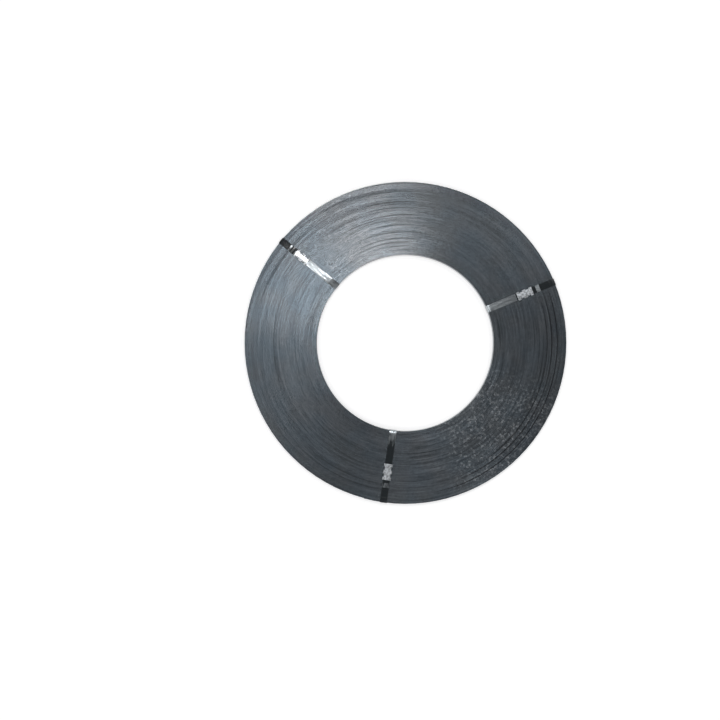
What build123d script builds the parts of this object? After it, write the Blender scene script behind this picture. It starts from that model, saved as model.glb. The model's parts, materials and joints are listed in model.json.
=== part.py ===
from build123d import *
import os
from math import cos, radians, sqrt

# Ribbon-wound coil of steel strapping, lying flat, held by three tie straps with notched seals.
# Millimetres. The coil's axis is Z, and the undersides of the tie straps lie on Z = 0.

# Wound strap
strap_width = 19.0
strap_thickness = 0.78
turn_gap = 0.02
turn_count = 209
bore_diameter = 406.4
turn_wander = 1.2  # how far the edges of the turns stray along the axis
end_fade_deg = 40.0  # arc in which the next turn closes over a strap end
outer_end_deg = 255.0
inner_end_deg = 149.0

# How the edges of the turns stray, from the bore outwards: places as shares of the turns,
# and heights as shares of the wander. A place that comes twice is a step between two turns.
turn_place_shares = (
    0.000, 0.025, 0.150, 0.290, 0.400, 0.400, 0.530, 0.615, 0.700,
    0.720, 0.735, 0.735, 0.785, 0.785, 0.875, 0.875, 0.975, 1.000,
)
turn_height_shares = (
    0.50, 0.50, 1.00, 0.55, 1.00, 0.35, 1.00, 0.60, 1.00,
    0.00, 0.00, 0.90, 1.00, 0.30, 0.85, 0.15, 0.60, 0.50,
)

# Tie straps
tie_width = 16.0
tie_thickness = 0.5
tie_angles_deg = (22.3, 140.5, 262.1)
wrap_gap = 0.2  # between a tie strap and the coil's curved walls
layer_gap = 0.1  # between the two layers of a joint
bend_share = 0.8  # of the largest bend that clears the coil's edge
shoulder_length = 5.5  # where the strap climbs from a bend to its layer
shoulder_radius = 24.0
lower_tail = 8.0
upper_tail = 18.0
tail_root = 4.0  # flat start of the upper tail, past the seal
tail_radius = 60.0
tail_lift = 0.9  # how far the upper end springs up

# Seals
seal_length = 37.0
seal_gauge = 0.8
seal_fit = 0.1  # between a seal and the strap layers inside it
seal_side_fit = 1.2  # beside the strap layers
seal_corner_radius = 1.2
seal_slot = 3.0  # between the flanges folded underneath
seal_place_shares = (0.558, 0.626, 0.576)  # along the coil's wall, from the bore
notch_length = 7.5
notch_depth = 3.4
notch_slit = 1.5
notch_tab = 2.6  # length of the edge that is pressed flat and turned down into its notch
notch_turn_deg = 65.0
notch_room = 0.6  # from a notch's root to the strap layers inside the seal
notch_place_share = 0.22  # from the seal's middle, along its length

overrun = 5.0

turn_pitch = strap_thickness + turn_gap
bore_radius = bore_diameter / 2
wall_thickness = turn_count * turn_pitch
outer_radius = bore_radius + wall_thickness
coil_base = tie_thickness
coil_top = coil_base + strap_width + turn_wander

edge_room = min(turn_height_shares[0], 1 - turn_height_shares[0]) * turn_wander
bend_radius = bend_share * (wrap_gap + edge_room + sqrt(2 * wrap_gap * edge_room))
layers_height = 2 * tie_thickness + layer_gap
seal_cavity_width = tie_width + 2 * seal_side_fit
seal_cavity_height = layers_height + 2 * seal_fit
seal_width = seal_cavity_width + 2 * seal_gauge
seal_height = seal_cavity_height + 2 * seal_gauge
lower_layer_z = coil_top + seal_gauge + seal_fit
upper_layer_z = lower_layer_z + tie_thickness + layer_gap
notch_root = seal_width / 2 - notch_depth


def end_fade_offset():
    """Offset of the circle that leaves the wall by one turn at the far side of the fade."""
    return turn_pitch / (1 - cos(radians(end_fade_deg)))


def fade_sector(reach, start_deg):
    """Sector from an angle, counter-clockwise over the fade."""
    rim = CenterArc((0, 0), reach, start_deg, end_fade_deg)
    return make_face([Line((0, 0), rim @ 0), rim, Line(rim @ 1, (0, 0))])


def wound_coil():
    """The wound strap as one turned solid, one strap width high at every turn."""
    edge = []
    for place, height in zip(turn_place_shares, turn_height_shares):
        radius = bore_radius + round(place * turn_count) * turn_pitch
        edge.append((radius, coil_base + height * turn_wander))
    top = [(radius, z + strap_width) for radius, z in edge]
    section = make_face(Plane.XZ * Polyline(*edge, *reversed(top), close=True))
    coil = revolve(section, Axis.Z)
    fade = end_fade_offset()

    last_turn = Circle(outer_radius + overrun) - Pos(fade, 0) * Circle(outer_radius - fade)
    last_turn = Rot(0, 0, outer_end_deg - end_fade_deg) * last_turn
    last_turn &= fade_sector(outer_radius + overrun, outer_end_deg - end_fade_deg)

    first_turn = Pos(-fade, 0) * Circle(bore_radius + fade)
    first_turn = Rot(0, 0, inner_end_deg + end_fade_deg) * first_turn
    first_turn &= fade_sector(bore_radius + overrun, inner_end_deg)
    return coil - extrude(last_turn + first_turn, coil_top + overrun)


def seal_middle(place_share):
    """Distance of a seal's middle from the coil's axis."""
    return bore_radius + place_share * wall_thickness


def notch_places(place_share):
    """Distance of each notch from the coil's axis, and the side of the strap it is on."""
    reach = notch_place_share * seal_length
    middle = seal_middle(place_share)
    return [(middle + way * reach, side) for way in (-1, 1) for side in (-1, 1)]


def notch_block(place, side, length, root):
    """Block that holds one notch, from its root out past the seal's edge."""
    grounded = (Align.CENTER, Align.MIN, Align.MIN)
    block = Box(length, notch_depth + overrun, seal_height + overrun, align=grounded)
    block = Pos(place, root, coil_top) * block
    return block if side > 0 else mirror(block, Plane.XZ)


def tie_strap(place_share):
    """Strap round the coil's section, which climbs over its own end and on through the seal."""
    inner_wall = sqrt(bore_radius**2 - (tie_width / 2) ** 2) - wrap_gap
    outer_wall = outer_radius + wrap_gap
    seal_start = seal_middle(place_share) - seal_length / 2
    seal_end = seal_start + seal_length
    path = Plane.XZ * FilletPolyline(
        (seal_start - lower_tail, lower_layer_z),
        (outer_wall - shoulder_length, lower_layer_z),
        (outer_wall, coil_top),
        (outer_wall, coil_base),
        (inner_wall, coil_base),
        (inner_wall, coil_top),
        (inner_wall + shoulder_length, upper_layer_z),
        (seal_end + tail_root, upper_layer_z),
        (seal_end + upper_tail, upper_layer_z + tail_lift),
        radius=(
            shoulder_radius, bend_radius, bend_radius, bend_radius,
            bend_radius, shoulder_radius, tail_radius,
        ),
    )
    section = Rectangle(tie_width, tie_thickness, align=(Align.CENTER, Align.MIN))
    strap = sweep(Plane(path @ 0, x_dir=(0, 1, 0), z_dir=path % 0) * section, path)
    for place, side in notch_places(place_share):
        strap -= notch_block(place, side, notch_length + 2 * seal_fit, notch_root - notch_room)
    return strap


def turned_tab(place, side):
    """Edge of a seal at one notch, pressed flat and turned down from the notch's root."""
    outer_top = (Align.CENTER, Align.MIN, Align.MAX) if side > 0 else (Align.CENTER, Align.MAX, Align.MAX)
    tab = Box(notch_length - 2 * notch_slit, notch_tab, seal_gauge, align=outer_top)
    return Pos(place, side * notch_root, coil_top + seal_height) * Rot(-side * notch_turn_deg, 0, 0) * tab


def seal(place_share):
    """Folded sleeve round both strap layers, with its notched edges turned down."""
    outside = RectangleRounded(seal_width, seal_height, seal_corner_radius)
    inside = Rectangle(seal_cavity_width, seal_cavity_height)
    slot = Pos(0, -seal_height / 2) * Rectangle(seal_slot, seal_height)
    folded = Plane.YZ * Pos(0, seal_height / 2) * (outside - inside - slot)
    sleeve = Pos(seal_middle(place_share), 0, coil_top) * extrude(folded, seal_length / 2, both=True)
    for place, side in notch_places(place_share):
        sleeve -= notch_block(place, side, notch_length, notch_root)
        sleeve += turned_tab(place, side)
    return sleeve


os.makedirs("parts", exist_ok=True)
export_step(wound_coil(), "parts/wound_coil.step")
for number, (angle, place) in enumerate(zip(tie_angles_deg, seal_place_shares), start=1):
    export_step(Rot(0, 0, angle) * tie_strap(place), f"parts/tie_strap_{number}.step")
    export_step(Rot(0, 0, angle) * seal(place), f"parts/seal_{number}.step")
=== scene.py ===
import json
import math

import bpy
from bpy.props import FloatProperty, FloatVectorProperty, IntProperty, PointerProperty
from mathutils import Matrix, Vector


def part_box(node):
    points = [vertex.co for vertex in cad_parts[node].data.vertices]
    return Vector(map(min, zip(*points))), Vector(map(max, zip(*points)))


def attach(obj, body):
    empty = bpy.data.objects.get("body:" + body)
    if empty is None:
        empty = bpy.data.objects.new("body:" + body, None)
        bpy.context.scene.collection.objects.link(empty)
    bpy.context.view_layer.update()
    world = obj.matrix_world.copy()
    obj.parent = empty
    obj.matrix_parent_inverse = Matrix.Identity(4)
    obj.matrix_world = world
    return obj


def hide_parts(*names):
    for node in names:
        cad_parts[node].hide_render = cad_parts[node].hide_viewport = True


bl_info = {
    "name": "Strapping coil",
    "version": (1, 0, 0),
    "blender": (4, 5, 0),
    "location": "3D View > Sidebar > Coil",
    "description": "Winds a coil of steel strapping and dresses its tie straps, seals and stage",
    "category": "Object",
}

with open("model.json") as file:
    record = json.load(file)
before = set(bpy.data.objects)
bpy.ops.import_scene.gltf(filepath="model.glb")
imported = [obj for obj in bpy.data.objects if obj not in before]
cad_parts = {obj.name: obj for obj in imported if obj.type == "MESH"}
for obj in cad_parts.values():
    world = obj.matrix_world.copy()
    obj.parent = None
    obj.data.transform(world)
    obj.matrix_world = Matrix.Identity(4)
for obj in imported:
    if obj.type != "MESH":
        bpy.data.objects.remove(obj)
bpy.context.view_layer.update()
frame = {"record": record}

MM = 0.001
BODY = "root"
BLACK = (0.0, 0.0, 0.0)
WHITE = (1.0, 1.0, 1.0)
MIDDLE = 0.5  # of a noise, and of a tone
SHARP_ANGLE = 0.5  # radians between two faces, past which their edge stays sharp

# Sizes that come with the frame
mounts = {mount["name"]: mount for mount in frame["record"]["mounts"]}
coil_low, coil_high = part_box("wound_coil")
bore_radius = mounts["bore"]["dims"]["r_mm"] * MM
outer_radius = coil_high.x
strap_width = mounts["bore"]["dims"]["length_mm"] * MM
turn_wander = coil_high.z - coil_low.z - strap_width

# Wound strap. How the edges of its turns stray, from the bore outwards, as on the turned solid:
# places are shares of the turns, and heights are shares of the wander.
TURN_PLACE_SHARES = (
    0.000, 0.025, 0.150, 0.290, 0.400, 0.400, 0.530, 0.615, 0.700,
    0.720, 0.735, 0.735, 0.785, 0.785, 0.875, 0.875, 0.975, 1.000,
)
TURN_HEIGHT_SHARES = (
    0.50, 0.50, 1.00, 0.55, 1.00, 0.35, 1.00, 0.60, 1.00,
    0.00, 0.00, 0.90, 1.00, 0.30, 0.85, 0.15, 0.60, 0.50,
)
TURN_COUNT = 209
OUTER_END_DEG = 255.0
INNER_END_DEG = 149.0
STEP_SHARE = 0.001  # of the turns, in which the strap slips from one height to the next
SECTION_CORNERS = 8
ROLL_SHARE = 0.8  # height of the rolled edge, by its width
# How fast each unevenness changes from turn to turn and round the coil
LEAN_PER_TURN, LEAN_ROUND, LEAN_SLANT = 0.12, 1.2, 2.0
LEAN_LEVELS = (0.25, 0.75)
SAG_PER_TURN, SAG_ROUND = 0.25, 6.0
LOOSE_PER_TURN, LOOSE_ROUND = 0.3, 1.6
LOOSE_LEVELS = (0.62, 0.78)
LOOSE_DEPTH = 0.6
# Turns that sit low in their ring: place as a share of the turns, start and end in degrees,
# and share of the depth
LOW_TURNS = (
    (0.875, 275, 385, 1.0), (0.800, 285, 383, 1.0), (0.735, 300, 380, 0.9),
    (0.830, 222, 262, 0.9), (0.752, 228, 265, 0.8), (0.930, 30, 75, 0.6),
    (0.728, 70, 112, 0.7), (0.650, 64, 108, 0.7), (0.545, 72, 116, 0.7),
    (0.410, 60, 112, 0.7), (0.310, 62, 118, 0.8), (0.225, 72, 120, 0.7),
    (0.170, 80, 125, 0.7), (0.600, 150, 200, 0.5), (0.360, 215, 255, 0.5),
)
LOW_HALF_TURNS = 1.6  # half of the turns that sit low together
LOW_EDGE_TURNS = 0.5  # either way of their outermost turn, in which the level comes back
LOW_FADE_DEG = 14.0  # in which they rise again

# Blued steel of the wound strap. A sector has its middle and half width in degrees.
STREAK_PITCH = 3.6 * MM
STREAK_ROUND = 3.0  # how fast the streaks change round the coil
GRAIN_SIZE = 5.9 * MM
GRAIN_SHARE = 0.3  # of the grain in the tone
CLOUD_SIZE = 60 * MM
CLOUD_LEVELS = (0.3, 0.7)
SOFT_FLECK_LEVELS = (0.47, 0.71)  # of the grain, between which flecks come up
BRIGHT_FLECK_LEVELS = (0.64, 0.74)
SOFT_FLECKS, BRIGHT_FLECKS = 0.8, 0.75
FLECK_HEIGHTS = (-2.6 * MM, -1.8 * MM)  # from the coil's top, between which the flecks start
FLECK_STEEL = (0.7, 0.72, 0.74)
GLINT_SECTORS = ((317.0, 32.0, 0.21), (124.0, 22.0, 0.03))  # with the strength of the flecks, which are painted glints
CALM_SECTORS = ((55.0, 42.0, 0.85), (225.0, 50.0, 0.4))  # with the share of the streaks that goes
WARM_HIGHLIGHT_SECTOR = (100.0, 40.0)  # where the main light's highlight falls, tinted warmer: painted highlight tint
COOL_HIGHLIGHT_SECTOR = (165.0, 45.0)  # where the strip light's highlight falls, tinted cooler: painted highlight tint
OUTER_SHADE_SECTOR = (125.0, 80.0)  # where the outer turns are darkened: painted shade, so that the highlight falls off outwards
OUTER_SHADE_SHARE = 0.22
LEAST_WARMTH, CLOUD_WARMTH, WARM_HIGHLIGHT_WARMTH, COOL_HIGHLIGHT_WARMTH = 0.2, 0.5, 0.5, -0.2
COOL_SHADES = (0.9, 1.0, 1.06)
WARM_SHADES = (1.08, 1.03, 0.99)
DARK_SHARE = 0.5
LIGHT_SHARE = 0.05
LOW_SHADE = 0.6  # share of its tone that a low turn loses: painted shade of its recess, partly dirt
STEEL_ROUGHNESS, STREAK_ROUGHNESS, GRAIN_ROUGHNESS = 0.24, 0.1, 0.03

# Tie straps. How each one lies: the reach of its climb from the bore, how far below the coil's
# top it starts to climb, how far its middle stands above its edges, and how far its edges twist.
TIE_SHAPES = {
    1: {"climb": 5.5 * MM, "sink": 0.0, "crown": 0.12 * MM, "twist": 0.05 * MM},
    2: {"climb": 21 * MM, "sink": 0.4 * MM, "crown": 0.42 * MM, "twist": 0.2 * MM},
    3: {"climb": 5.5 * MM, "sink": 0.0, "crown": 0.12 * MM, "twist": 0.05 * MM},
}
# Section of a tie strap, corner by corner: shares of its half width and of its thickness
TIE_SIDE_SHARES = (
    -0.975, -0.6, 0.0, 0.6, 0.975, 1.0, 1.0, 0.975, 0.6, 0.0, -0.6, -0.975, -1.0, -1.0,
)
TIE_LIFT_SHARES = (0.0, 0.0, 0.0, 0.0, 0.0, 0.3, 0.7, 1.0, 1.0, 1.0, 1.0, 1.0, 0.7, 0.3)
BEND_STEPS = 12
TWISTS_PER_RIPPLE = 2.0

# How far the lacquer is rubbed off each tie strap: at its inner bend, at the start and the end of
# its inner run, and on its tail. Then places: where the rubbed run stops, from the seal's start,
# and, from the seal's end, where the rubbed tail starts and where each dull mark of the tensioning
# tool starts and ends. Where the run stops short of the seal, on ties 1 and 3, the black lacquer
# left before the seal is painted shadow of the seal.
TIE_WEAR = {
    1: {
        "bend": 0.75, "run_start": 0.6, "run_end": 0.48, "tail": 0.6,
        "run_stop": -1.5 * MM, "tail_start": 8 * MM, "grips": (),
    },
    2: {
        "bend": 0.5, "run_start": 0.5, "run_end": 0.5, "tail": 0.44,
        "run_stop": 6 * MM, "tail_start": 13 * MM,
        "grips": ((2.5 * MM, 7 * MM), (10.5 * MM, 13.5 * MM)),
    },
    3: {
        "bend": 1.0, "run_start": 0.52, "run_end": 0.0, "tail": 0.4,
        "run_stop": -1.5 * MM, "tail_start": 6 * MM, "grips": (),
    },
}
BEND_WEAR_REACH = (3 * MM, 9 * MM)  # from the bore, in which the bend's wear gives way
RUN_WEAR_REACH = (6 * MM, 70 * MM)  # from the bore, in which the run's wear changes
WEAR_EDGE = 1.5 * MM  # in which a rubbed run or tail starts or stops
GRIP_EDGE = 0.5 * MM  # in which a tool mark starts or stops
TAIL_LEVELS = (1.6 * MM, 1.7 * MM)  # above the coil, between which the upper layer starts
LOWER_WEAR_END = 4 * MM  # from the coil's top and bottom, between which the wear ends
SCUFF_WIDTH, SCUFF_LENGTH, SCUFF_DETAIL, SCUFF_STRENGTH = 2.6 * MM, 16 * MM, 4.0, 0.6
WORN_LEVELS = (0.3, 0.7)
HAZE_SIZE = 6 * MM
GLOSS_ROUGHNESS, HAZE_ROUGHNESS, WORN_ROUGHNESS, GRIP_ROUGHNESS = 0.1, 0.1, 0.06, 0.45

# Seals. How each one came out of the crimper: how far its middle stands above its edges, and its
# middle roughness.
SEAL_SHAPES = {
    1: {"crown": 0.2 * MM, "dullness": 0.36},
    2: {"crown": 0.9 * MM, "dullness": 0.24},
    3: {"crown": 0.2 * MM, "dullness": 0.36},
}
FOLD_STEPS = 4
DIP_REACH_SHARES = (0.6, 0.8)  # of a notch's length and depth, over which the sheet dips
FLARE_POWER = 6  # keeps the lift close to the seal's ends
EDGE_SHARE = 0.15  # of the gauge, rounded off the sheet's edges
EDGE_SEGMENTS = 2
EDGE_ANGLE = 1.0  # radians between two faces, past which their edge is rounded off
SLACK_SHARE = 0.01  # of the grid's step, within which two places are one
BLOOM_SIZE = 4 * MM
BLOOM_LEVELS = (0.4, 0.6)
BLOOM_SHADE = 0.5

# Stage
IMAGE_SIDE = 720  # pixels
FLOOR_SIDE = 12.0
FLOOR_DROP = 0.1 * MM  # below the tie straps' undersides
FLOOR_WHITE = (0.9, 0.9, 0.9)
FLOOR_ROUGHNESS = 0.9
LAMPS = ("softbox", "strip", "fill")
PANEL_GLOWS = {52: 1.25, 212: 1.2, 285: 0.75}  # radiance of the side panels by their azimuth


class Wire:
    """A node's output in a Python expression: each operation adds a Math node to its board."""

    def __init__(self, board, socket):
        self.board = board
        self.socket = socket

    def math(self, operation, *values):
        return self.board.node("ShaderNodeMath", {"operation": operation}, dict(enumerate(values)))

    def __add__(self, other):
        return self.math("ADD", self, other)

    def __radd__(self, other):
        return self.math("ADD", other, self)

    def __sub__(self, other):
        return self.math("SUBTRACT", self, other)

    def __rsub__(self, other):
        return self.math("SUBTRACT", other, self)

    def __mul__(self, other):
        return self.math("MULTIPLY", self, other)

    def __rmul__(self, other):
        return self.math("MULTIPLY", other, self)

    def __truediv__(self, other):
        return self.math("DIVIDE", self, other)

    def __rtruediv__(self, other):
        return self.math("DIVIDE", other, self)

    def __mod__(self, other):
        return self.math("MODULO", self, other)

    def __rmod__(self, other):
        return self.math("MODULO", other, self)

    def __pow__(self, other):
        return self.math("POWER", self, other)

    def __rpow__(self, other):
        return self.math("POWER", other, self)

    def __gt__(self, other):
        return self.math("GREATER_THAN", self, other)

    def most(self, other):
        return self.math("MAXIMUM", self, other)

    def least(self, other):
        return self.math("MINIMUM", self, other)

    def size(self):
        return self.math("ABSOLUTE", self)

    def cosine(self):
        return self.math("COSINE", self)

    def sine(self):
        return self.math("SINE", self)

    def within(self, low, high):
        """0 at low and below, 1 at high and above, smooth between."""
        return self.board.node(
            "ShaderNodeMapRange", {"interpolation_type": "SMOOTHSTEP"},
            {"Value": self, "From Min": low, "From Max": high},
        )


class Board:
    """A node tree being wired."""

    def __init__(self, tree):
        self.tree = tree

    def feed(self, socket, value):
        """Links a wire to a socket, or sets the socket's own value."""
        if isinstance(value, Wire):
            self.tree.links.new(value.socket, socket)
        elif socket.type == "RGBA" and len(value) == 3:
            socket.default_value = (*value, 1.0)
        else:
            socket.default_value = value

    def node(self, kind, settings=None, sockets=None, out=0):
        """Adds a node: its settings first, then the values or wires of its sockets."""
        made = self.tree.nodes.new(kind)
        for name, value in (settings or {}).items():
            if name == "points":
                self.set_points(made.mapping, value)
            elif name == "choices":
                while len(made.index_switch_items) < value:
                    made.index_switch_items.new()
            else:
                setattr(made, name, value)
        for key, value in (sockets or {}).items():
            self.feed(made.inputs[key], value)
        return Wire(self, made.outputs[out])

    @staticmethod
    def set_points(mapping, points):
        """Straight lines from point to point on a curve node."""
        curve = mapping.curves[0]
        while len(curve.points) < len(points):
            curve.points.new(MIDDLE, MIDDLE)
        for point, place in zip(curve.points, points):
            point.location = place
            point.handle_type = "VECTOR"
        mapping.update()

    def choose(self, index, values):
        """The value that an index picks from a row of values or wires."""
        sockets = {0: index}
        sockets.update({number + 1: value for number, value in enumerate(values)})
        settings = {"data_type": "FLOAT", "choices": len(values)}
        return self.node("GeometryNodeIndexSwitch", settings, sockets)

    def vectors(self, operation, *values, out=0):
        """One Vector Math operation."""
        settings = {"operation": operation}
        return self.node("ShaderNodeVectorMath", settings, dict(enumerate(values)), out)

    def stepped(self, start, direction, amount):
        """A place moved by an amount along a direction."""
        sockets = {0: direction, "Scale": amount}
        step = self.node("ShaderNodeVectorMath", {"operation": "SCALE"}, sockets)
        return self.vectors("ADD", start, step)

    def vector(self, x, y, z):
        return self.node("ShaderNodeCombineXYZ", None, {0: x, 1: y, 2: z})

    def noise(self, vector, detail=1.0):
        sockets = {"Vector": vector, "Scale": 1.0, "Detail": detail}
        return self.node("ShaderNodeTexNoise", {"noise_dimensions": "3D"}, sockets)

    def grains(self, x, y, z, size, detail=1.0):
        """Noise in grains of one size."""
        return self.noise(self.vector(x / size, y / size, z / size), detail)

    def blend(self, share, first, second):
        """Colour between two colours."""
        sockets = {"Factor": share, 6: first, 7: second}
        return self.node("ShaderNodeMix", {"data_type": "RGBA"}, sockets, out=2)


class GeometryBoard(Board):
    """A Geometry Nodes tree with named inputs, ending in Realize Instances and Set Material."""

    def __init__(self, name, inputs):
        super().__init__(bpy.data.node_groups.new(name, "GeometryNodeTree"))
        face = self.tree.interface
        face.new_socket("Geometry", in_out="OUTPUT", socket_type="NodeSocketGeometry")
        self.sockets = {}
        for title, kind in {**inputs, "Material": "Material"}.items():
            made = face.new_socket(title, in_out="INPUT", socket_type=f"NodeSocket{kind}")
            self.sockets[title] = made.identifier
        entry = self.tree.nodes.new("NodeGroupInput")
        self.wires = {title: Wire(self, entry.outputs[title]) for title in self.sockets}

    def tube(self, corners):
        """A closed tube, with each point's corner of the section and its share of the way along."""
        stations = self.wires["Stations"]
        tube = self.node(
            "GeometryNodeMeshCylinder", {"fill_type": "NGON"},
            {"Vertices": corners, "Side Segments": stations},
        )
        index = self.node("GeometryNodeInputIndex")
        corner = index % float(corners)
        return tube, corner, (index - corner) / float(corners) / stations

    def close(self, geometry):
        """Smooth faces with sharp edges kept, and the end of the tree."""
        smooth = self.node("GeometryNodeSetShadeSmooth", {"domain": "FACE"}, {"Geometry": geometry})
        angle = self.node("GeometryNodeInputMeshEdgeAngle")
        creased = self.node(
            "GeometryNodeSetShadeSmooth", {"domain": "EDGE"},
            {"Geometry": smooth, "Selection": angle > SHARP_ANGLE, "Shade Smooth": False},
        )
        realized = self.node("GeometryNodeRealizeInstances", None, {"Geometry": creased})
        dressed = self.node(
            "GeometryNodeSetMaterial", None,
            {"Geometry": realized, "Material": self.wires["Material"]},
        )
        end = self.tree.nodes.new("NodeGroupOutput")
        self.feed(end.inputs["Geometry"], dressed)

    def make(self, name, values, path=()):
        """A plain mesh object of the tree's result, with these input values and path points."""
        mesh = bpy.data.meshes.new(name + "_path")
        links = [(number, number + 1) for number in range(len(path) - 1)]
        mesh.from_pydata([spot for spot, bend in path], links, [])
        bends = mesh.attributes.new("bend", "FLOAT", "POINT")
        for number, (spot, bend) in enumerate(path):
            bends.data[number].value = bend
        carrier = bpy.data.objects.new(name + "_path", mesh)
        bpy.context.scene.collection.objects.link(carrier)
        modifier = carrier.modifiers.new("Nodes", "NODES")
        modifier.node_group = self.tree
        for title, value in values.items():
            modifier[self.sockets[title]] = value
        made = finished_mesh(carrier)
        made.materials.pop(index=0)  # the empty slot of the tree's tube
        return add_piece(name, made)


def finished_mesh(carrier):
    """Plain mesh of an object with its modifiers applied; the object itself is removed."""
    graph = bpy.context.evaluated_depsgraph_get()
    made = bpy.data.meshes.new_from_object(carrier.evaluated_get(graph))
    bpy.data.objects.remove(carrier)
    return made


def add_piece(name, mesh):
    """An object for a finished mesh."""
    mesh.name = name
    piece = bpy.data.objects.new(name, mesh)
    bpy.context.scene.collection.objects.link(piece)
    return piece


class MaterialBoard(Board):
    """A material with one Principled shader; constants go straight on the shader's sockets."""

    def __init__(self, name, constants):
        self.material = bpy.data.materials.new(name)
        self.material.use_nodes = True
        super().__init__(self.material.node_tree)
        self.shader = self.tree.nodes["Principled BSDF"]
        self.drive(constants)

    def drive(self, sockets):
        for socket, value in sockets.items():
            self.feed(self.shader.inputs[socket], value)

    def place(self):
        """Object coordinates."""
        spot = self.node("ShaderNodeTexCoord", out="Object")
        return [self.node("ShaderNodeSeparateXYZ", None, {0: spot}, out=axis) for axis in "XYZ"]

    @staticmethod
    def from_axis(x, y):
        """Distance from the coil's axis."""
        return (x * x + y * y) ** 0.5

    @staticmethod
    def sector(east, north, middle_deg, half_deg):
        """1 in the middle third of a sector of the ring, fading to 0 at its sides."""
        turn, half = math.radians(middle_deg), math.radians(half_deg)
        toward = east * math.cos(turn) + north * math.sin(turn)
        return toward.within(math.cos(half), math.cos(half / 3))

    def sectors(self, east, north, table):
        """Sum of a table's sectors, each times its strength."""
        return sum(
            strength * self.sector(east, north, middle, half) for middle, half, strength in table
        )


def holder(kind, **hints):
    """Function that makes a property of one kind from its name, description and default."""

    def make(name, description, default):
        return kind(name=name, description=description, default=default, **hints)

    return make


metres = holder(FloatProperty, unit="LENGTH", precision=5)
level = holder(FloatProperty)
colour = holder(FloatVectorProperty, subtype="COLOR", min=0.0, max=1.0)
lamp_place = holder(FloatVectorProperty, subtype="TRANSLATION")
lamp_sides = holder(FloatVectorProperty, unit="LENGTH", size=2)


class WoundCoilSettings(bpy.types.PropertyGroup):
    """Sizes and finish of the wound strap."""

    thickness: metres("Strap thickness", "Thickness of one turn", 0.78 * MM)
    steps: IntProperty(
        name="Steps per turn", description="Straight runs in one turn", default=96, min=24,
    )
    rolled_edge: metres(
        "Rolled edge", "Width of the edge that slitting rolled over, outside a turn", 0.12 * MM,
    )
    burr_edge: metres("Burr edge", "Width of the sharper edge, inside a turn", 0.05 * MM)
    lean: metres("Lean", "Most that one side of an edge lies below the other", 0.025 * MM)
    settle: metres("Settle", "Most that a turn sits below its ring", 0.2 * MM)
    seed: level("Seed", "Picks the run of uneven turns", 3.7)
    steel: colour("Steel", "Blued steel at its middle tone", (0.14, 0.16, 0.18))


class TieSettings(bpy.types.PropertyGroup):
    """Sizes and finish of the tie straps."""

    width: metres("Width", "Width of a tie strap", 16 * MM)
    thickness: metres("Thickness", "Thickness of a tie strap", 0.5 * MM)
    wrap_gap: metres("Wrap gap", "Room between a tie strap and the coil's walls", 0.2 * MM)
    layer_gap: metres("Layer gap", "Room between the two layers of a joint", 0.1 * MM)
    bend_radius: metres("Bend radius", "Inside radius at the coil's edges", 1.03 * MM)
    shoulder_length: metres(
        "Shoulder length", "Where the strap climbs beside its outer bend", 5.5 * MM,
    )
    shoulder_radius: metres("Shoulder radius", "Radius of a shoulder", 24 * MM)
    run_radius: metres("Run radius", "Radius of the slight bows of the runs", 300 * MM)
    bow: metres("Bow", "How far the inner run bows up", 0.5 * MM)
    outer_sag: metres("Outer sag", "How far the outer run slopes down", 0.6 * MM)
    tail_radius: metres("Tail radius", "Radius where the upper tail lifts", 60 * MM)
    lower_tail: metres("Lower tail", "Length of the lower end past the seal", 8 * MM)
    upper_tail: metres("Upper tail", "Length of the upper end past the seal", 18 * MM)
    tail_root: metres("Tail root", "Flat start of the upper tail", 4 * MM)
    tail_lift: metres("Tail lift", "How far the upper end springs up", 0.9 * MM)
    ripple: metres("Ripple", "Most that a free run stands off", 0.25 * MM)
    ripple_length: metres("Ripple length", "Length of one ripple", 24 * MM)
    stations: IntProperty(
        name="Stations", description="Steps along a strap", default=1100, min=100,
    )
    lacquer: colour("Lacquer", "Black strap lacquer", (0.006, 0.011, 0.014))
    bare: colour("Bare steel", "Steel where the lacquer is rubbed off", (0.43, 0.465, 0.49))


class SealSettings(bpy.types.PropertyGroup):
    """Sizes and finish of the seals."""

    length: metres("Length", "Length of a seal along its strap", 37 * MM)
    gauge: metres("Gauge", "Thickness of the seal's sheet", 0.8 * MM)
    fit: metres("Fit", "Room over and under the strap layers", 0.1 * MM)
    side_fit: metres("Side fit", "Room beside the strap layers", 1.2 * MM)
    fold_radius: metres("Fold radius", "Radius of the folds, at mid sheet", 0.8 * MM)
    slot: metres("Slot", "Room between the flanges underneath", 3 * MM)
    notch_length: metres("Notch length", "Length of a notch", 7.5 * MM)
    notch_depth: metres("Notch depth", "Depth of a notch", 3.4 * MM)
    notch_slit: metres("Notch slit", "Room beside a turned tab", 1.5 * MM)
    notch_reach: metres("Notch reach", "From the seal's middle to a notch's", 8.14 * MM)
    notch_tab: metres("Notch tab", "Length of a turned tab", 2.6 * MM)
    notch_turn: FloatProperty(
        name="Notch turn", description="How far a tab is turned down",
        default=math.radians(65), subtype="ANGLE",
    )
    notch_room: metres("Notch room", "From a notch's root to the strap layers", 0.6 * MM)
    dip: metres("Dip", "How far the sheet dips at a notch", 0.1 * MM)
    flare: metres("Flare", "How far the seal's ends lift", 0.25 * MM)
    step: metres("Step", "Longest step of the sheet's grid", 0.7 * MM)
    zinc: colour("Zinc", "Bright zinc of the seals", (0.6, 0.63, 0.66))


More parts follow.
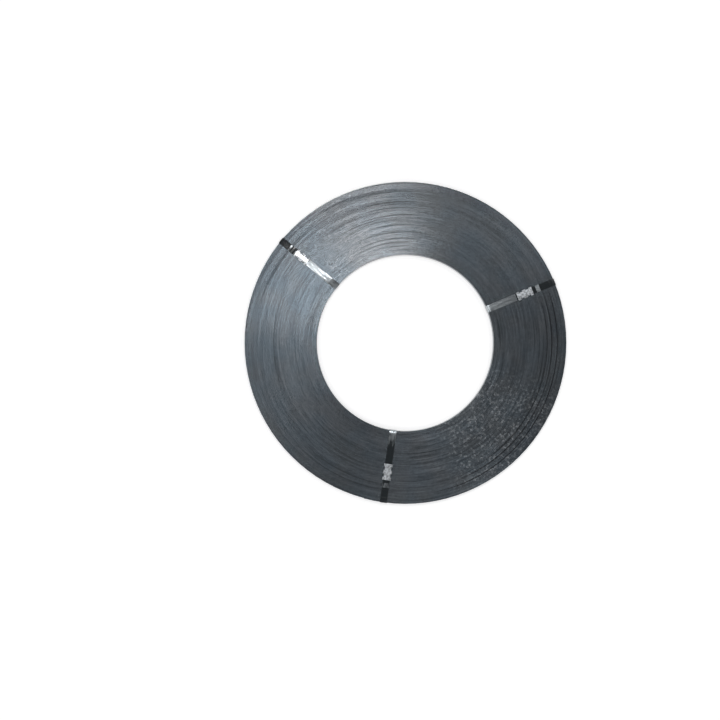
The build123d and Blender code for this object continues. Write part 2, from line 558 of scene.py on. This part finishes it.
class StageSettings(bpy.types.PropertyGroup):
    """Camera, floor and light."""

    lens: FloatProperty(
        name="Lens", description="Focal length of the camera", default=50.0, unit="CAMERA",
    )
    coil_pixels: level(
        "Coil in the picture", "Radius of the coil in the picture, in pixels", 161.2,
    )
    middle_pixel: FloatVectorProperty(
        name="Middle in the picture", description="Where the coil's middle falls, in pixels",
        default=(405.4, 342.8), size=2,
    )
    world_level: level("World level", "Brightness of the room all round", 0.31)
    floor_glow: level("Floor glow", "How far the floor shines by itself in the picture", 0.53)
    softbox_place: lamp_place("Softbox place", "Middle of the main light", (-0.01, 0.53, 2.3))
    softbox_sides: lamp_sides("Softbox sides", "Width and depth of the main light", (0.3, 0.3))
    softbox_glow: level("Softbox glow", "Radiance of the main light", 11.6)
    strip_place: lamp_place("Strip place", "Middle of the strip light", (-0.375, 0.325, 2.3))
    strip_sides: lamp_sides("Strip sides", "Width and depth of the strip light", (0.52, 0.2))
    strip_glow: level("Strip glow", "Radiance of the strip light", 11.5)
    fill_place: lamp_place("Fill place", "Middle of the fill light", (-0.29, -0.03, 2.3))
    fill_sides: lamp_sides("Fill sides", "Width and depth of the fill light", (0.25, 0.25))
    fill_glow: level("Fill glow", "Radiance of the fill light", 2.6)
    panel_side: metres("Panel side", "Side of each square side panel", 1.4)
    panel_reach: metres("Panel reach", "How far off the side panels hang", 1.6)
    panel_height: metres("Panel height", "How high the side panels hang", 2.2)


def tie_angle(number):
    """Direction of a tie strap from the coil's axis."""
    x, y, z = mounts[f"rest_{number}"]["pos_m"]
    return math.atan2(y, x)


def seal_middle(number):
    """Distance of a seal's middle from the coil's axis."""
    low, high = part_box(f"seal_{number}")
    return ((low + high) / 2).to_2d().length


def seal_reach(number):
    """Distances of a seal's ends from the coil's axis."""
    half = bpy.context.scene.seal_settings.length / 2
    return seal_middle(number) - half, seal_middle(number) + half


def coil_steel(settings):
    """Blued steel streaked in rings, turn by turn, with bright flecks on the turns' top edges as
    painted glints in two sectors, painted highlight tints, and painted shade on the outer turns of
    one sector and on low turns.
    """
    board = MaterialBoard(
        "blued_steel", {"Metallic": 1.0, "Anisotropic": 0.7, "Anisotropic Rotation": 0.25},
    )
    x, y, z = board.place()
    radius = board.from_axis(x, y)
    east, north = x / radius, y / radius
    rings = board.vector(radius / STREAK_PITCH, east * STREAK_ROUND, north * STREAK_ROUND)
    streak = board.noise(rings, detail=2.0)
    grain = board.grains(x, y, z, GRAIN_SIZE)

    # Bright flecks on the turns' top edges, kept to two sectors: painted glints
    soft = SOFT_FLECKS * grain.within(*SOFT_FLECK_LEVELS)
    rubbed = soft + BRIGHT_FLECKS * grain.within(*BRIGHT_FLECK_LEVELS)
    rubbed = rubbed * (z - coil_high.z).within(*FLECK_HEIGHTS)
    flecks = board.sectors(east, north, GLINT_SECTORS) * rubbed
    liveliness = 1.0 - board.sectors(east, north, CALM_SECTORS)
    streaks = liveliness * (streak - MIDDLE)

    cloud = board.grains(x, y, 0.0, CLOUD_SIZE).within(*CLOUD_LEVELS)
    # Painted highlight tints: warmer where the main light's highlight falls, cooler where the strip
    # light's falls
    warm_highlight = board.sector(east, north, *WARM_HIGHLIGHT_SECTOR)
    thick = board.sector(east, north, *COOL_HIGHLIGHT_SECTOR)
    warmth = LEAST_WARMTH + CLOUD_WARMTH * cloud + WARM_HIGHLIGHT_WARMTH * warm_highlight + COOL_HIGHLIGHT_WARMTH * thick
    cool = [part * shade for part, shade in zip(settings.steel, COOL_SHADES)]
    warm = [part * shade for part, shade in zip(settings.steel, WARM_SHADES)]
    tint = board.blend(warmth, cool, warm)
    dark = board.blend(DARK_SHARE, tint, BLACK)
    light = board.blend(LIGHT_SHARE, tint, WHITE)
    tone = (MIDDLE + streaks + GRAIN_SHARE * (grain - MIDDLE)).within(0.0, 1.0)
    plain = board.blend(tone, dark, light)
    # Outer turns darkened in one sector: painted shade
    outward = radius.within(bore_radius, outer_radius)
    fading = OUTER_SHADE_SHARE * outward * board.sector(east, north, *OUTER_SHADE_SECTOR)
    flecked = board.blend(flecks, board.blend(fading, plain, BLACK), FLECK_STEEL)
    # Low turns are darkened by their drop: painted shade of their recesses, partly dirt
    low_share = board.node("ShaderNodeAttribute", {"attribute_name": "low_share"}, out="Fac")
    uneven = STREAK_ROUGHNESS * streaks + GRAIN_ROUGHNESS * (grain - MIDDLE)
    board.drive({
        "Base Color": board.blend(LOW_SHADE * liveliness * low_share, flecked, BLACK),
        "Roughness": STEEL_ROUGHNESS + uneven,
    })
    return board.material


def tie_lacquer(number, settings):
    """Glossy black lacquer, rubbed to bare steel in streaks along the strap."""
    board = MaterialBoard(f"black_lacquer_{number}", {})
    wear = TIE_WEAR[number]
    x, y, z = board.place()
    radius = board.from_axis(x, y)
    turn = tie_angle(number)
    side = y * math.cos(turn) - x * math.sin(turn)
    seal_start, seal_end = seal_reach(number)
    from_bore, to_seal, past_seal = radius - bore_radius, radius - seal_start, radius - seal_end
    run_stop, tail_start = wear["run_stop"], wear["tail_start"]

    at_bend = 1.0 - from_bore.within(*BEND_WEAR_REACH)
    far = from_bore.within(*RUN_WEAR_REACH)
    # Ties 1 and 3 stop their rubbed run short of the seal: the black band left there is painted
    # shadow of the seal
    on_run = (1.0 - at_bend) * (1.0 - to_seal.within(run_stop - WEAR_EDGE, run_stop))
    on_run = on_run * (wear["run_start"] + far * (wear["run_end"] - wear["run_start"]))
    upper_layer = (z - coil_high.z).within(*TAIL_LEVELS)
    on_tail = upper_layer * past_seal.within(tail_start, tail_start + WEAR_EDGE)
    gripped = 0.0
    for start, stop in wear["grips"]:
        started = past_seal.within(start - GRIP_EDGE, start)
        stopped = past_seal.within(stop, stop + GRIP_EDGE)
        gripped = gripped + upper_layer * started * (1.0 - stopped)

    upper_side = z.within(coil_low.z + LOWER_WEAR_END, coil_high.z - LOWER_WEAR_END)
    rubbed = upper_side * (at_bend * wear["bend"] + on_run + on_tail * wear["tail"])
    scuffs = board.vector(side / SCUFF_WIDTH, radius / SCUFF_LENGTH, z / SCUFF_LENGTH)
    scuff = SCUFF_STRENGTH * (board.noise(scuffs, SCUFF_DETAIL) - MIDDLE)
    worn = (rubbed + scuff).within(*WORN_LEVELS) * (1.0 - gripped)
    haze = board.grains(x, y, z, HAZE_SIZE, detail=2.0)
    gloss = GLOSS_ROUGHNESS + HAZE_ROUGHNESS * haze
    board.drive({
        "Base Color": board.blend(worn, settings.lacquer[:], settings.bare[:]),
        "Metallic": worn,
        "Roughness": gloss + WORN_ROUGHNESS * worn + GRIP_ROUGHNESS * gripped,
    })
    return board.material


def seal_zinc(number, settings):
    """Bright zinc with a dull bloom, duller on some seals than on others."""
    board = MaterialBoard(f"bright_zinc_{number}", {"Metallic": 1.0})
    bloom = board.grains(*board.place(), BLOOM_SIZE, detail=2.0)
    dull = [BLOOM_SHADE * part for part in settings.zinc]
    board.drive({
        "Base Color": board.blend(bloom.within(*BLOOM_LEVELS), dull, settings.zinc[:]),
        "Roughness": SEAL_SHAPES[number]["dullness"] * (MIDDLE + bloom),
    })
    return board.material


def wound_strap_tree():
    """Strap wound in a spiral: a long tube of eight corners, bent round turn by turn."""
    numbers = (
        "Bore radius", "Turn pitch", "Strap thickness", "Strap width", "Lowest edge", "Wander",
        "All turns", "From turn", "To turn", "Outer end", "Rolled edge", "Burr edge", "Lean",
        "Settle", "Seed",
    )
    board = GeometryBoard("Wound strap", {"Stations": "Int", **dict.fromkeys(numbers, "Float")})
    size = board.wires
    seed = size["Seed"]
    tube, corner, along = board.tube(SECTION_CORNERS)
    turn = size["From turn"] + along * (size["To turn"] - size["From turn"])
    angle = size["Outer end"] + math.tau * (size["All turns"] - turn)
    cosine, sine = angle.cosine(), angle.sine()

    heights = list(zip(TURN_PLACE_SHARES, TURN_HEIGHT_SHARES))
    for number in range(1, len(heights)):
        if heights[number][0] == heights[number - 1][0]:
            heights[number] = (heights[number][0] + STEP_SHARE, heights[number][1])
    place = turn / size["All turns"]
    rise = board.node("ShaderNodeFloatCurve", {"points": heights}, {"Value": place})

    lean = board.noise(board.vector(
        turn * LEAN_PER_TURN + sine * LEAN_SLANT, cosine * LEAN_ROUND + seed, sine * LEAN_ROUND,
    )).within(*LEAN_LEVELS)
    sag = board.noise(board.vector(
        turn * SAG_PER_TURN, cosine * SAG_ROUND, sine * SAG_ROUND + seed,
    ))
    loose = board.noise(board.vector(
        turn * LOOSE_PER_TURN, cosine * LOOSE_ROUND + seed, sine * LOOSE_ROUND,
    ))
    low_share = loose.within(*LOOSE_LEVELS) * LOOSE_DEPTH
    for share, start, end, depth in LOW_TURNS:
        low = low_turns(turn, size["All turns"] * share, angle, start, end)
        low_share = low_share.most(depth * low)

    thick, wide = size["Strap thickness"], size["Strap width"]
    burr, rolled, drop = size["Burr edge"], size["Rolled edge"], size["Lean"]
    roll = ROLL_SHARE * rolled
    inner_drop, outer_drop = drop * (1.0 - lean), drop * lean
    out = board.choose(corner, [
        0.0, burr, thick - rolled, thick, thick, thick - rolled, burr, 0.0,
    ])
    up = board.choose(corner, [
        wide - burr - inner_drop, wide - inner_drop, wide - outer_drop, wide - roll - outer_drop,
        roll + outer_drop, outer_drop, inner_drop, burr + inner_drop,
    ])
    radius = size["Bore radius"] + turn * size["Turn pitch"] + out
    level_up = (rise * (1.0 - low_share) * size["Wander"] - sag * size["Settle"]).most(0.0)
    position = board.vector(radius * cosine, radius * sine, size["Lowest edge"] + level_up + up)
    wound = board.node("GeometryNodeSetPosition", None, {"Geometry": tube, "Position": position})
    # Each turn's drop is kept for the steel, which darkens low turns as painted shade
    board.close(board.node(
        "GeometryNodeStoreNamedAttribute", {"data_type": "FLOAT", "domain": "POINT"},
        {"Geometry": wound, "Name": "low_share", "Value": low_share},
    ))
    return board


def low_turns(turn, middle, angle, start_deg, end_deg):
    """Share of the drop: 1 on the turns about a middle one and between two angles, 0 elsewhere."""
    off = (turn - middle).size()
    near = 1.0 - off.within(LOW_HALF_TURNS - LOW_EDGE_TURNS, LOW_HALF_TURNS + LOW_EDGE_TURNS)
    half = (end_deg - start_deg) / 2
    toward = (angle - math.radians(start_deg + half)).cosine()
    inside = math.cos(math.radians(half - LOW_FADE_DEG))
    return near * toward.within(math.cos(math.radians(half)), inside)


class COIL_OT_wind(bpy.types.Operator):
    """Wind the strap turn on turn into the coil"""

    bl_idname = "strapping_coil.wind"
    bl_label = "Wind the coil"

    def execute(self, context):
        settings = context.scene.coil_settings
        tree = wound_strap_tree()
        turns = TURN_COUNT - (OUTER_END_DEG - INNER_END_DEG) / 360
        pitch = (outer_radius - bore_radius - settings.thickness) / turns
        half = math.floor(turns / 2)
        steel = coil_steel(settings)
        spans = {"wound_strap_inner": (0, half), "wound_strap_outer": (half, turns)}
        for name, (start, stop) in spans.items():
            piece = tree.make(name, {
                "Bore radius": bore_radius, "Turn pitch": pitch,
                "Strap thickness": settings.thickness, "Strap width": strap_width,
                "Lowest edge": coil_low.z, "Wander": turn_wander,
                "All turns": turns, "From turn": float(start), "To turn": float(stop),
                "Stations": round((stop - start) * settings.steps),
                "Outer end": math.radians(OUTER_END_DEG),
                "Rolled edge": settings.rolled_edge, "Burr edge": settings.burr_edge,
                "Lean": settings.lean, "Settle": settings.settle, "Seed": settings.seed,
                "Material": steel,
            })
            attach(piece, BODY)
            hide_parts("wound_coil")
        return {"FINISHED"}


def strap_tree():
    """Strap along a path, crowned, rippled on its free runs and notched under its seal."""
    numbers = (
        "Width", "Thickness", "Crown", "Twist", "Ripple", "Ripple length", "Seed", "Deck",
        "Seal middle", "Joint reach", "Notch reach", "Notch length", "Notch depth",
    )
    board = GeometryBoard("Strap along a path", {
        "Path": "Geometry", "Outward": "Vector", "Across": "Vector", "Stations": "Int",
        **dict.fromkeys(numbers, "Float"),
    })
    size = board.wires
    bend = board.node(
        "GeometryNodeInputNamedAttribute", {"data_type": "FLOAT"}, {"Name": "bend"},
    )
    line = board.node("GeometryNodeMeshToCurve", None, {"Mesh": size["Path"]})
    line = board.node(
        "GeometryNodeFilletCurve", {"mode": "POLY"},
        {"Curve": line, "Count": BEND_STEPS, "Radius": bend, "Limit Radius": True},
    )
    tube, corner, along = board.tube(len(TIE_SIDE_SHARES))
    spot, heading = (
        board.node(
            "GeometryNodeSampleCurve", {"mode": "FACTOR"}, {"Curves": line, "Factor": along}, out,
        )
        for out in ("Position", "Tangent")
    )
    facing = board.vectors("NORMALIZE", board.vectors("CROSS_PRODUCT", heading, size["Across"]))
    radius = board.vectors("DOT_PRODUCT", spot, size["Outward"], out="Value")
    height = board.node("ShaderNodeSeparateXYZ", None, {0: spot}, out="Z")

    on_deck = height > size["Deck"]
    from_seal = (radius - size["Seal middle"]).size()
    from_notch = (from_seal - size["Notch reach"]).size()
    notched = on_deck * (size["Notch length"] / 2.0 > from_notch)
    half = size["Width"] / 2.0 - notched * size["Notch depth"]
    side = board.choose(corner, TIE_SIDE_SHARES)
    lift = board.choose(corner, TIE_LIFT_SHARES)

    joint, ripple = size["Joint reach"], size["Ripple length"]
    free = on_deck * from_seal.within(joint, joint + ripple)
    wave = board.noise(board.vector(radius / ripple, size["Seed"], 0.0))
    swing = board.noise(board.vector(radius / ripple * TWISTS_PER_RIPPLE, 0.0, size["Seed"]))
    crown = size["Crown"] * height.within(size["Deck"] / 2.0, size["Deck"]) * (1.0 - side * side)
    twist = size["Twist"] * free * side * (2.0 * swing - 1.0)
    off = lift * size["Thickness"] + crown + twist + size["Ripple"] * free * wave
    place = board.stepped(spot, size["Across"], side * half)
    place = board.stepped(place, facing, off)
    strap = board.node("GeometryNodeSetPosition", None, {"Geometry": tube, "Position": place})
    # The section runs clockwise, so its faces are turned outwards
    board.close(board.node("GeometryNodeFlipFaces", None, {"Mesh": strap}))
    return board


class COIL_OT_tie(bpy.types.Operator):
    """Lay the tie straps round the coil and through their seals"""

    bl_idname = "strapping_coil.tie"
    bl_label = "Lay the tie straps"

    def execute(self, context):
        settings = context.scene.tie_settings
        seal = context.scene.seal_settings
        tree = strap_tree()
        for number, shape in TIE_SHAPES.items():
            turn = tie_angle(number)
            outward = Vector((math.cos(turn), math.sin(turn), 0))
            across = Vector((-math.sin(turn), math.cos(turn), 0))
            path = [
                (outward * radius + Vector((0, 0, z)), bend)
                for radius, z, bend in self.route(number, settings, seal)
            ]
            piece = tree.make(f"tie_{number}", {
                "Outward": outward, "Across": across, "Stations": settings.stations,
                "Width": settings.width, "Thickness": settings.thickness,
                "Crown": shape["crown"], "Twist": shape["twist"],
                "Ripple": settings.ripple, "Ripple length": settings.ripple_length,
                "Seed": float(number), "Deck": coil_high.z + seal.gauge / 2,
                "Seal middle": seal_middle(number),
                "Joint reach": seal.length / 2 + settings.upper_tail,
                "Notch reach": seal.notch_reach, "Notch length": seal.notch_length,
                "Notch depth": seal.notch_depth - seal.side_fit - seal.gauge + seal.notch_room,
                "Material": tie_lacquer(number, settings),
            }, path)
            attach(piece, BODY)
            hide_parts(f"tie_strap_{number}")
        return {"FINISHED"}

    def route(self, number, settings, seal):
        """Corners of the strap's inner face, from its lower end on: radius, height and bend."""
        inner_wall = math.sqrt(bore_radius**2 - (settings.width / 2) ** 2) - settings.wrap_gap
        outer_wall = outer_radius + settings.wrap_gap
        seal_start, seal_end = seal_reach(number)
        lower = coil_high.z + seal.gauge + seal.fit
        upper = lower + settings.thickness + settings.layer_gap
        bend, shoulder = settings.bend_radius, settings.shoulder_radius
        shape = TIE_SHAPES[number]
        return [
            (seal_start - settings.lower_tail, lower, 0.0),
            (seal_end + settings.lower_tail, lower, settings.run_radius),
            (outer_wall - settings.shoulder_length, lower - settings.outer_sag, shoulder),
            (outer_wall, coil_high.z, bend),
            (outer_wall, coil_low.z, bend),
            (inner_wall, coil_low.z, bend),
            (inner_wall, coil_high.z - shape["sink"], bend),
            (inner_wall + shape["climb"], upper, shoulder),
            ((inner_wall + seal_start) / 2, upper + settings.bow, settings.run_radius),
            (seal_start, upper, settings.run_radius),
            (seal_end + settings.tail_root, upper, settings.tail_radius),
            (seal_end + settings.upper_tail, upper + settings.tail_lift, 0.0),
        ]


class COIL_OT_seal(bpy.types.Operator):
    """Fold the seals round the strap ends and notch them"""

    bl_idname = "strapping_coil.seal"
    bl_label = "Fold the seals"

    def execute(self, context):
        settings = context.scene.seal_settings
        for number, shape in SEAL_SHAPES.items():
            mesh = self.sheet(settings, context.scene.tie_settings, shape["crown"])
            place = Matrix.Rotation(tie_angle(number), 4, "Z")
            place = place @ Matrix.Translation((seal_middle(number), 0, coil_high.z))
            mesh.transform(place)
            mesh.materials.append(seal_zinc(number, settings))
            piece = add_piece(f"folded_seal_{number}", mesh)
            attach(piece, BODY)
            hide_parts(f"seal_{number}")
        return {"FINISHED"}

    def fold(self, settings, tie):
        """Middle line of the folded sheet across the strap, the notches' roots and its top."""
        layers = 2 * tie.thickness + tie.layer_gap + 2 * settings.fit
        half = tie.width / 2 + settings.side_fit + settings.gauge / 2
        low = settings.gauge / 2
        top = low + settings.gauge + layers
        root = half + settings.gauge / 2 - settings.notch_depth
        radius = min(settings.fold_radius, (top - low) / 2)
        right = [(settings.slot / 2, low), (root, low)]
        for centre, start in ((low + radius, -90), (top - radius, 0)):
            for step in range(FOLD_STEPS + 1):
                turn = math.radians(start + 90 * step / FOLD_STEPS)
                out, up = radius * math.cos(turn), radius * math.sin(turn)
                right.append((half - radius + out, centre + up))
        right.append((root, top))
        line = right + [(-y, z) for y, z in reversed(right)]
        return self.divided(line, settings.step), root, top

    @staticmethod
    def divided(line, step):
        """A line of places with its long steps divided, and places that coincide left out."""
        places = [line[0]]
        for first, last in zip(line, line[1:]):
            length = math.dist(first, last)
            if length < step * SLACK_SHARE:
                continue
            count = max(1, math.ceil(length / step))
            for number in range(1, count + 1):
                share = number / count
                places.append(tuple(a + (b - a) * share for a, b in zip(first, last)))
        return places

    def sheet(self, settings, tie, crown):
        """Mesh of one seal about its middle, with the strap along X and its top crowned."""
        line, root, top = self.fold(settings, tie)
        notch, slit, reach = settings.notch_length, settings.notch_slit, settings.notch_reach
        marks = [-settings.length / 2]
        for middle in (-reach, reach):
            start, stop = middle - notch / 2, middle + notch / 2
            marks += [start, start + slit, stop - slit, stop]
        marks.append(settings.length / 2)
        stations = [x for (x,) in self.divided([(x,) for x in marks], settings.step)]
        slack = settings.step * SLACK_SHARE
        runs = self.runs_from_hinges(line, root, top, slack)
        half = root + settings.notch_depth
        spots, faces, numbers = [], [], {}

        def vertex(x_number, line_number, tab):
            x, (y, z) = stations[x_number], line[line_number]
            run = runs[line_number]
            key = (x_number, line_number, tab if run > slack else 0)
            if key not in numbers:
                lift = 0.0
                if z > top / 2:
                    lift = self.lift(x, abs(y), settings, root) + crown * (1 - (y / half) ** 2)
                if key[2]:
                    y = math.copysign(root + run * math.cos(settings.notch_turn), y)
                    z = top - run * math.sin(settings.notch_turn)
                numbers[key] = len(spots)
                spots.append((x, y, z + lift))
            return numbers[key]

        for x_number in range(len(stations) - 1):
            middle_x = (stations[x_number] + stations[x_number + 1]) / 2
            from_notch = abs(abs(middle_x) - reach)
            for line_number in range(len(line) - 1):
                first, last = line[line_number], line[line_number + 1]
                outside = min(abs(first[0]), abs(last[0])) > root - slack
                tab = 0
                if outside and from_notch < notch / 2:
                    pressed = max(runs[line_number], runs[line_number + 1]) < settings.notch_tab
                    if from_notch > notch / 2 - slit or not pressed:
                        continue
                    tab = (2 if middle_x > 0 else 1) * (1 if first[0] > 0 else -1)
                ring = ((0, 0), (0, 1), (1, 1), (1, 0))
                faces.append([vertex(x_number + i, line_number + j, tab) for i, j in ring])
        return self.thickened(spots, faces, settings)

    @staticmethod
    def runs_from_hinges(line, root, top, slack):
        """Length of sheet from each place on the line to the nearer of the tabs' hinges."""
        lengths = [0.0]
        for first, last in zip(line, line[1:]):
            lengths.append(lengths[-1] + math.dist(first, last))
        hinges = [
            length for length, (y, z) in zip(lengths, line)
            if abs(abs(y) - root) < slack and z > top - slack
        ]
        return [min(abs(length - hinge) for hinge in hinges) for length in lengths]

    @staticmethod
    def lift(x, y, settings, root):
        """How far the top of the sheet stands up: less at the notches, more at the ends."""
        along, across = DIP_REACH_SHARES
        off_x = (abs(x) - settings.notch_reach) / (along * settings.notch_length)
        off_y = (y - root) / (across * settings.notch_depth)
        flare = settings.flare * (2 * abs(x) / settings.length) ** FLARE_POWER
        return flare - settings.dip * math.exp(-(off_x**2) - off_y**2)

    @staticmethod
    def thickened(spots, faces, settings):
        """The sheet as a closed mesh with its gauge and softened edges."""
        mesh = bpy.data.meshes.new("seal_sheet")
        mesh.from_pydata(spots, [], faces)
        carrier = bpy.data.objects.new("seal_sheet", mesh)
        bpy.context.scene.collection.objects.link(carrier)
        solid = carrier.modifiers.new("Gauge", "SOLIDIFY")
        solid.thickness = settings.gauge
        solid.offset = 0
        solid.use_even_offset = True
        edge = carrier.modifiers.new("Edges", "BEVEL")
        edge.width = EDGE_SHARE * settings.gauge
        edge.segments = EDGE_SEGMENTS
        edge.limit_method = "ANGLE"
        edge.angle_limit = EDGE_ANGLE
        made = finished_mesh(carrier)
        made.shade_smooth()
        made.set_sharp_from_angle(angle=SHARP_ANGLE)
        return made


class COIL_OT_stage(bpy.types.Operator):
    """Lay the floor, hang the lights and set the camera over the coil"""

    bl_idname = "strapping_coil.stage"
    bl_label = "Set the stage"

    def execute(self, context):
        settings = context.scene.stage_settings
        self.floor(context.scene, settings)
        self.light(context.scene, settings)
        self.camera(context.scene, settings)
        context.scene.view_settings.view_transform = "Standard"
        return {"FINISHED"}

    def floor(self, scene, settings):
        """A white floor that also shines by itself where the camera sees it."""
        mesh = bpy.data.meshes.new("floor")
        reach = FLOOR_SIDE / 2
        corners = [(-reach, -reach), (reach, -reach), (reach, reach), (-reach, reach)]
        mesh.from_pydata([(x, y, -FLOOR_DROP) for x, y in corners], [], [(0, 1, 2, 3)])
        floor = bpy.data.objects.new("floor", mesh)
        scene.collection.objects.link(floor)
        board = MaterialBoard(
            "white_floor", {"Base Color": FLOOR_WHITE, "Roughness": FLOOR_ROUGHNESS},
        )
        plain = Wire(board, board.shader.outputs[0])
        camera, glossy, through = (
            board.node("ShaderNodeLightPath", out=f"Is {name} Ray")
            for name in ("Camera", "Glossy", "Transmission")
        )
        glow = board.node(
            "ShaderNodeEmission", None, {"Color": WHITE, "Strength": settings.floor_glow},
        )
        lit = board.node("ShaderNodeAddShader", None, {0: plain, 1: glow})
        seen = (camera + glossy + through).least(1.0)
        mixed = board.node("ShaderNodeMixShader", None, {0: seen, 1: plain, 2: lit})
        board.feed(board.tree.nodes["Material Output"].inputs["Surface"], mixed)
        mesh.materials.append(board.material)

    def light(self, scene, settings):
        """A plain room, lamps over the coil and panels at its sides."""
        world = bpy.data.worlds.new("room")
        world.use_nodes = True
        room = world.node_tree.nodes["Background"]
        room.inputs["Color"].default_value = (*WHITE, 1.0)
        room.inputs["Strength"].default_value = settings.world_level
        scene.world = world
        for name in LAMPS:
            values = [getattr(settings, f"{name}_{value}") for value in ("place", "sides", "glow")]
            self.lamp(scene, name, *values)
        sides = (settings.panel_side, settings.panel_side)
        for azimuth, glow in PANEL_GLOWS.items():
            turn = math.radians(azimuth)
            reach = settings.panel_reach
            place = (reach * math.cos(turn), reach * math.sin(turn), settings.panel_height)
            self.lamp(scene, f"panel_{azimuth}", place, sides, glow)

    def lamp(self, scene, name, place, sides, glow):
        """A rectangular lamp that faces the coil's middle."""
        lamp = bpy.data.lights.new(name, "AREA")
        lamp.shape = "RECTANGLE"
        lamp.size, lamp.size_y = sides
        lamp.energy = glow * math.pi * lamp.size * lamp.size_y
        hung = bpy.data.objects.new(name, lamp)
        hung.location = place
        hung.rotation_euler = (-Vector(place)).to_track_quat("-Z", "Y").to_euler()
        scene.collection.objects.link(hung)

    def camera(self, scene, settings):
        """A camera that looks straight down, with the coil where the picture has it."""
        data = bpy.data.cameras.new("camera")
        data.lens = settings.lens
        focal_pixels = settings.lens / data.sensor_width * IMAGE_SIDE
        distance = focal_pixels * outer_radius / settings.coil_pixels
        metres_per_pixel = distance / focal_pixels
        off = Vector(settings.middle_pixel) - Vector((IMAGE_SIDE, IMAGE_SIDE)) / 2
        off *= metres_per_pixel
        camera = bpy.data.objects.new("camera", data)
        camera.location = (-off.x, off.y, coil_high.z + distance)
        scene.collection.objects.link(camera)
        scene.camera = camera


class COIL_PT_panel(bpy.types.Panel):
    """Steps and settings of the strapping coil"""

    bl_label = "Strapping coil"
    bl_idname = "COIL_PT_panel"
    bl_space_type = "VIEW_3D"
    bl_region_type = "UI"
    bl_category = "Coil"

    def draw(self, context):
        for name, (group, step) in STEPS.items():
            box = self.layout.box()
            for title in group.__annotations__:
                box.prop(getattr(context.scene, name), title)
            box.operator(step.bl_idname)


STEPS = {
    "coil_settings": (WoundCoilSettings, COIL_OT_wind),
    "tie_settings": (TieSettings, COIL_OT_tie),
    "seal_settings": (SealSettings, COIL_OT_seal),
    "stage_settings": (StageSettings, COIL_OT_stage),
}
CLASSES = [*(cls for pair in STEPS.values() for cls in pair), COIL_PT_panel]


def register():
    for cls in CLASSES:
        bpy.utils.register_class(cls)
    for name, (group, step) in STEPS.items():
        setattr(bpy.types.Scene, name, PointerProperty(type=group))


def unregister():
    for name in STEPS:
        delattr(bpy.types.Scene, name)
    for cls in reversed(CLASSES):
        bpy.utils.unregister_class(cls)


def main():
    register()
    bpy.ops.strapping_coil.wind()
    bpy.ops.strapping_coil.tie()
    bpy.ops.strapping_coil.seal()
    bpy.ops.strapping_coil.stage()


if __name__ == "__main__":
    main()
